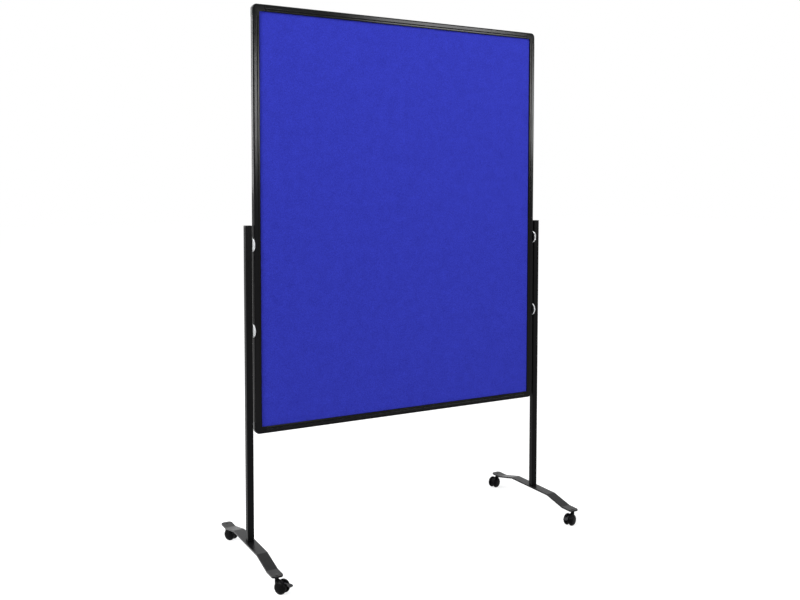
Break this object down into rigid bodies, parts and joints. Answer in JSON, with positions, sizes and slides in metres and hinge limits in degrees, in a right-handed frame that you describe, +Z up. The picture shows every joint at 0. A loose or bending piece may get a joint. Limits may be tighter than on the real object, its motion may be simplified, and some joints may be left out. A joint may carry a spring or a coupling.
{
  "type": "mobile presentation pinboard",
  "caption": "Felt-covered pinboard in a slim frame, clamped at its height between two posts on arched feet with swivel casters.",
  "frame": {"origin": "on the floor, midway between the two posts in the board's mid-plane", "axes": "+Z up, +X along the board to the right as seen from the front, -Y out of the front pin face"},
  "size_m": [1.277, 0.6021, 1.96],
  "materials": {
    "frame_profile": "satin",
    "corner_plastic": "satin",
    "core_board": "matte",
    "felt": "matte",
    "post_paint": "satin",
    "foot_paint": "semi-gloss",
    "cap_plastic": "satin",
    "clamp_metal": "turned",
    "zinc_steel": "zinc plated",
    "caster_plastic": "moulded",
    "wheel_plastic": "moulded",
    "pedal_plastic": "moulded"
  },
  "bodies": {
    "stand": {"left_post": "post_paint", "left_post_cap": "cap_plastic", "left_post_plug": "zinc_steel", "left_foot": "foot_paint", "right_post": "post_paint", "right_post_cap": "cap_plastic", "right_post_plug": "zinc_steel", "right_foot": "foot_paint", "foot_bolts": "zinc_steel", "clamp_studs": "zinc_steel", "slide_nuts": "zinc_steel", "caster_stems": "zinc_steel"},
    "board": {"left_rail": "frame_profile", "right_rail": "frame_profile", "bottom_rail": "frame_profile", "top_rail": "frame_profile", "bottom_left_corner": "corner_plastic", "bottom_right_corner": "corner_plastic", "top_right_corner": "corner_plastic", "top_left_corner": "corner_plastic", "core_panel": "core_board", "front_felt": "felt", "rear_felt": "felt"},
    "lower_left_clamp": {"lower_left_clamp_wheel": "clamp_metal"},
    "upper_left_clamp": {"upper_left_clamp_wheel": "clamp_metal"},
    "lower_right_clamp": {"lower_right_clamp_wheel": "clamp_metal"},
    "upper_right_clamp": {"upper_right_clamp_wheel": "clamp_metal"},
    "front_left_caster": {"front_left_caster_housing": "caster_plastic", "front_left_caster_axle": "zinc_steel"},
    "front_left_caster_wheel_a": {"front_left_caster_wheel_a": "wheel_plastic"},
    "front_left_caster_wheel_b": {"front_left_caster_wheel_b": "wheel_plastic"},
    "front_left_caster_pedal": {"front_left_caster_pedal": "pedal_plastic"},
    "rear_left_caster": {"rear_left_caster_housing": "caster_plastic", "rear_left_caster_axle": "zinc_steel"},
    "rear_left_caster_wheel_a": {"rear_left_caster_wheel_a": "wheel_plastic"},
    "rear_left_caster_wheel_b": {"rear_left_caster_wheel_b": "wheel_plastic"},
    "front_right_caster": {"front_right_caster_housing": "caster_plastic", "front_right_caster_axle": "zinc_steel"},
    "front_right_caster_wheel_a": {"front_right_caster_wheel_a": "wheel_plastic"},
    "front_right_caster_wheel_b": {"front_right_caster_wheel_b": "wheel_plastic"},
    "front_right_caster_pedal": {"front_right_caster_pedal": "pedal_plastic"},
    "rear_right_caster": {"rear_right_caster_housing": "caster_plastic", "rear_right_caster_axle": "zinc_steel"},
    "rear_right_caster_wheel_a": {"rear_right_caster_wheel_a": "wheel_plastic"},
    "rear_right_caster_wheel_b": {"rear_right_caster_wheel_b": "wheel_plastic"}
  },
  "joints": [
    {"name": "board_slide", "type": "slide", "parent": "stand", "child": "board", "axis": [0, 0, 1], "range_m": [-0.375, 0.28]},
    {"name": "lower_left_clamp_turn", "type": "hinge", "parent": "stand", "child": "lower_left_clamp", "pos_m": [-0.6035, 0, 0.827], "axis": [-1, 0, 0], "range_deg": [0, 180]},
    {"name": "upper_left_clamp_turn", "type": "hinge", "parent": "stand", "child": "upper_left_clamp", "pos_m": [-0.6035, 0, 1.128], "axis": [-1, 0, 0], "range_deg": [0, 180]},
    {"name": "lower_right_clamp_turn", "type": "hinge", "parent": "stand", "child": "lower_right_clamp", "pos_m": [0.6035, 0, 0.827], "axis": [1, 0, 0], "range_deg": [0, 180]},
    {"name": "upper_right_clamp_turn", "type": "hinge", "parent": "stand", "child": "upper_right_clamp", "pos_m": [0.6035, 0, 1.128], "axis": [1, 0, 0], "range_deg": [0, 180]},
    {"name": "front_left_caster_swivel", "type": "hinge", "parent": "stand", "child": "front_left_caster", "pos_m": [-0.6185, -0.264, 0.045], "axis": [0, 0, 1], "continuous": true},
    {"name": "front_left_caster_wheel_a_spin", "type": "hinge", "parent": "front_left_caster", "child": "front_left_caster_wheel_a", "pos_m": [-0.6075, -0.28305, 0.0225], "axis": [0.866, 0.5, 0], "continuous": true},
    {"name": "front_left_caster_wheel_b_spin", "type": "hinge", "parent": "front_left_caster", "child": "front_left_caster_wheel_b", "pos_m": [-0.6075, -0.28305, 0.0225], "axis": [0.866, 0.5, 0], "continuous": true},
    {"name": "front_left_caster_pedal_press", "type": "hinge", "parent": "front_left_caster", "child": "front_left_caster_pedal", "pos_m": [-0.602, -0.29258, 0.0345], "axis": [0.866, 0.5, 0], "range_deg": [0, 14]},
    {"name": "rear_left_caster_swivel", "type": "hinge", "parent": "stand", "child": "rear_left_caster", "pos_m": [-0.6185, 0.264, 0.045], "axis": [0, 0, 1], "continuous": true},
    {"name": "rear_left_caster_wheel_a_spin", "type": "hinge", "parent": "rear_left_caster", "child": "rear_left_caster_wheel_a", "pos_m": [-0.60817, 0.24457, 0.0225], "axis": [0.8829, 0.4695, 0], "continuous": true},
    {"name": "rear_left_caster_wheel_b_spin", "type": "hinge", "parent": "rear_left_caster", "child": "rear_left_caster_wheel_b", "pos_m": [-0.60817, 0.24457, 0.0225], "axis": [0.8829, 0.4695, 0], "continuous": true},
    {"name": "front_right_caster_swivel", "type": "hinge", "parent": "stand", "child": "front_right_caster", "pos_m": [0.6185, -0.264, 0.045], "axis": [0, 0, 1], "continuous": true},
    {"name": "front_right_caster_wheel_a_spin", "type": "hinge", "parent": "front_right_caster", "child": "front_right_caster_wheel_a", "pos_m": [0.5981, -0.27224, 0.0225], "axis": [0.3746, -0.9272, 0], "continuous": true},
    {"name": "front_right_caster_wheel_b_spin", "type": "hinge", "parent": "front_right_caster", "child": "front_right_caster_wheel_b", "pos_m": [0.5981, -0.27224, 0.0225], "axis": [0.3746, -0.9272, 0], "continuous": true},
    {"name": "front_right_caster_pedal_press", "type": "hinge", "parent": "front_right_caster", "child": "front_right_caster_pedal", "pos_m": [0.5879, -0.27636, 0.0345], "axis": [0.3746, -0.9272, 0], "range_deg": [0, 14]},
    {"name": "rear_right_caster_swivel", "type": "hinge", "parent": "stand", "child": "rear_right_caster", "pos_m": [0.6185, 0.264, 0.045], "axis": [0, 0, 1], "continuous": true},
    {"name": "rear_right_caster_wheel_a_spin", "type": "hinge", "parent": "rear_right_caster", "child": "rear_right_caster_wheel_a", "pos_m": [0.5981, 0.25576, 0.0225], "axis": [0.3746, -0.9272, 0], "continuous": true},
    {"name": "rear_right_caster_wheel_b_spin", "type": "hinge", "parent": "rear_right_caster", "child": "rear_right_caster_wheel_b", "pos_m": [0.5981, 0.25576, 0.0225], "axis": [0.3746, -0.9272, 0], "continuous": true}
  ]
}
